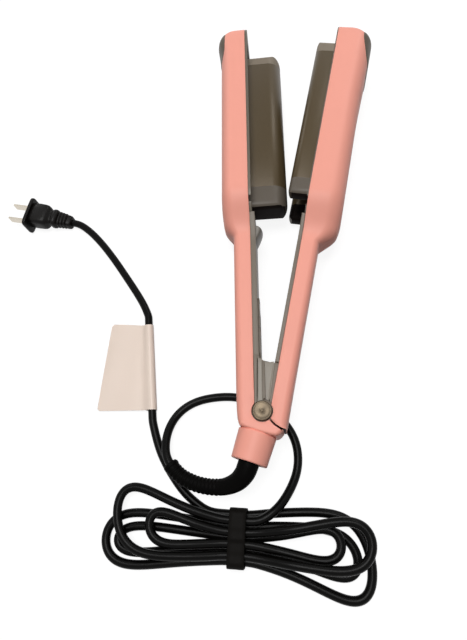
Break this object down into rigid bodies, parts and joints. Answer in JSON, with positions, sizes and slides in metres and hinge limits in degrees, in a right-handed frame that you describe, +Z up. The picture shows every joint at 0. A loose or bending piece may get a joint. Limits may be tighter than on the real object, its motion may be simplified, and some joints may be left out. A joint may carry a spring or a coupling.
{
  "type": "hair waver",
  "caption": "Corded hair waver lying on its side: two sprung arms on a hinge, a convex wave plate meshing into a twin-ridged one, hanked cord and flat-blade plug.",
  "frame": {"origin": "on the outer side of the left jaw that the waver lies on, midway along and across that face", "axes": "+Y from the hinge to the tips along the left arm, +X towards the opened right arm, +Z up"},
  "size_m": [0.3146, 0.4398, 0.051],
  "materials": {
    "pink_plastic": "satin",
    "liner_plastic": "satin",
    "grey_plastic": "satin",
    "wave_coating": "satin",
    "cap_plastic": "satin",
    "ceramic": "matte",
    "aluminium": "satin",
    "dark_lens": "gloss",
    "black_plastic": "satin",
    "board": "satin",
    "steel": "satin",
    "spun_metal": "brushed",
    "brass": "satin",
    "black_rubber": "matte",
    "cord_jacket": "satin",
    "tag_film": "satin",
    "plated_brass": "satin"
  },
  "bodies": {
    "left_arm": {"left_shell": "pink_plastic", "left_hinge_housing": "pink_plastic", "left_inner_cover": "liner_plastic", "left_jaw_frame": "cap_plastic", "centre_wave_plate": "wave_coating", "left_cap_top": "cap_plastic", "left_cap_bottom": "cap_plastic", "left_heater": "ceramic", "left_heat_spreaders": "aluminium", "left_thermistor": "ceramic", "left_tip_insert": "liner_plastic", "control_panel": "liner_plastic", "display_window": "dark_lens", "tact_switches": "black_plastic", "control_board": "board", "closing_stop": "cap_plastic", "hinge_pin": "steel", "hinge_cap_near": "spun_metal", "hinge_cap_far": "spun_metal", "hinge_washers": "steel", "torsion_spring": "steel", "cord_collar": "pink_plastic", "contact_brushes": "brass", "cord_boot": "black_rubber", "cord_lead": "cord_jacket", "cord_hank": "cord_jacket", "cord_tail": "cord_jacket", "cable_tie": "black_plastic", "cord_tag": "tag_film", "plug_body": "black_plastic", "plug_blades": "plated_brass"},
    "right_arm": {"right_shell": "pink_plastic", "right_hinge_housing": "pink_plastic", "right_hinge_arm": "liner_plastic", "right_inner_cover": "liner_plastic", "right_jaw_frame": "grey_plastic", "twin_wave_plate": "wave_coating", "right_cap_top": "cap_plastic", "right_cap_bottom": "cap_plastic", "right_heaters": "ceramic", "right_heat_spreaders": "aluminium", "right_thermistor": "ceramic", "right_tip_insert": "liner_plastic"},
    "power_key": {"power_button": "pink_plastic"},
    "plus_key": {"plus_button": "liner_plastic"},
    "minus_key": {"minus_button": "liner_plastic"},
    "swivel": {"swivel_sleeve": "black_plastic", "contact_rings": "brass"}
  },
  "joints": [
    {"name": "jaw_hinge", "type": "hinge", "parent": "left_arm", "child": "right_arm", "pos_m": [0.0155, -0.2385, 0.0255], "axis": [0, 0, 1], "range_deg": [0, 11.5], "stiffness_Nm_per_rad": 0.4, "springref_deg": -20.05},
    {"name": "power_press", "type": "slide", "parent": "left_arm", "child": "power_key", "axis": [-1, 0, 0], "range_m": [0, 0.0006], "stiffness_N_per_m": 1500, "springref_m": -0.0004},
    {"name": "plus_press", "type": "slide", "parent": "left_arm", "child": "plus_key", "axis": [-1, 0, 0], "range_m": [0, 0.0006], "stiffness_N_per_m": 1500, "springref_m": -0.0004},
    {"name": "minus_press", "type": "slide", "parent": "left_arm", "child": "minus_key", "axis": [-1, 0, 0], "range_m": [0, 0.0006], "stiffness_N_per_m": 1500, "springref_m": -0.0004},
    {"name": "cord_swivel", "type": "hinge", "parent": "left_arm", "child": "swivel", "pos_m": [0.0116, -0.2503, 0.0255], "axis": [-0.3173, -0.9483, 0], "continuous": true}
  ]
}
